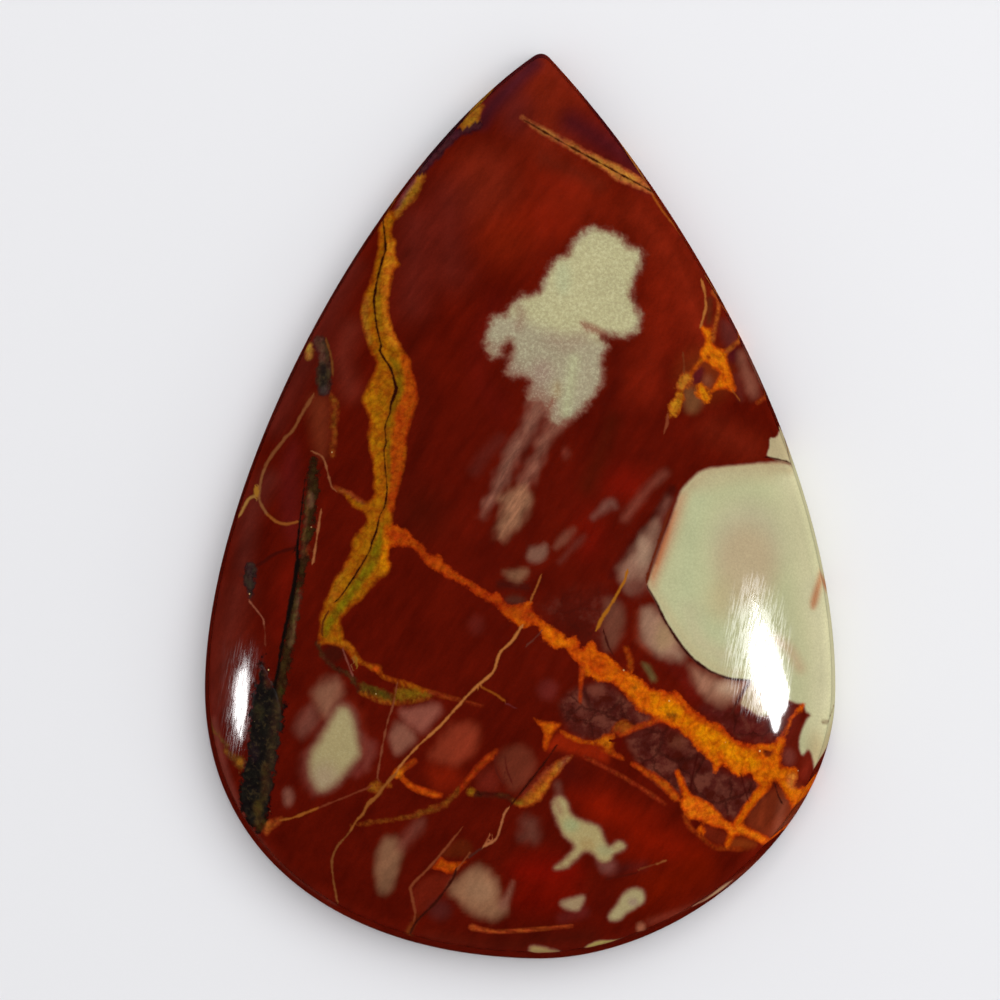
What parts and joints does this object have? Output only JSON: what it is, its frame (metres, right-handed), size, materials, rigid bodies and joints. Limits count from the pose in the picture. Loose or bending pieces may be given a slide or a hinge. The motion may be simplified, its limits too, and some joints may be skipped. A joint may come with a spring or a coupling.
{
  "type": "jasper cabochon",
  "caption": "Polished pear-shaped stone cabochon with a flat back and a low domed front, in red jasper with ochre veins and pale sage fragments.",
  "frame": {"origin": "middle of the bounding box, on the flat back", "axes": "+Z from the flat back to the crown of the dome, +Y along the length towards the tip, +X to the right when the dome is looked at with the tip up"},
  "size_m": [0.0276, 0.04, 0.0065],
  "materials": {
    "polished_jasper": "high polish on the dome and side, finely lapped back"
  },
  "bodies": {
    "root": {"cabochon": "polished_jasper"}
  },
  "joints": []
}
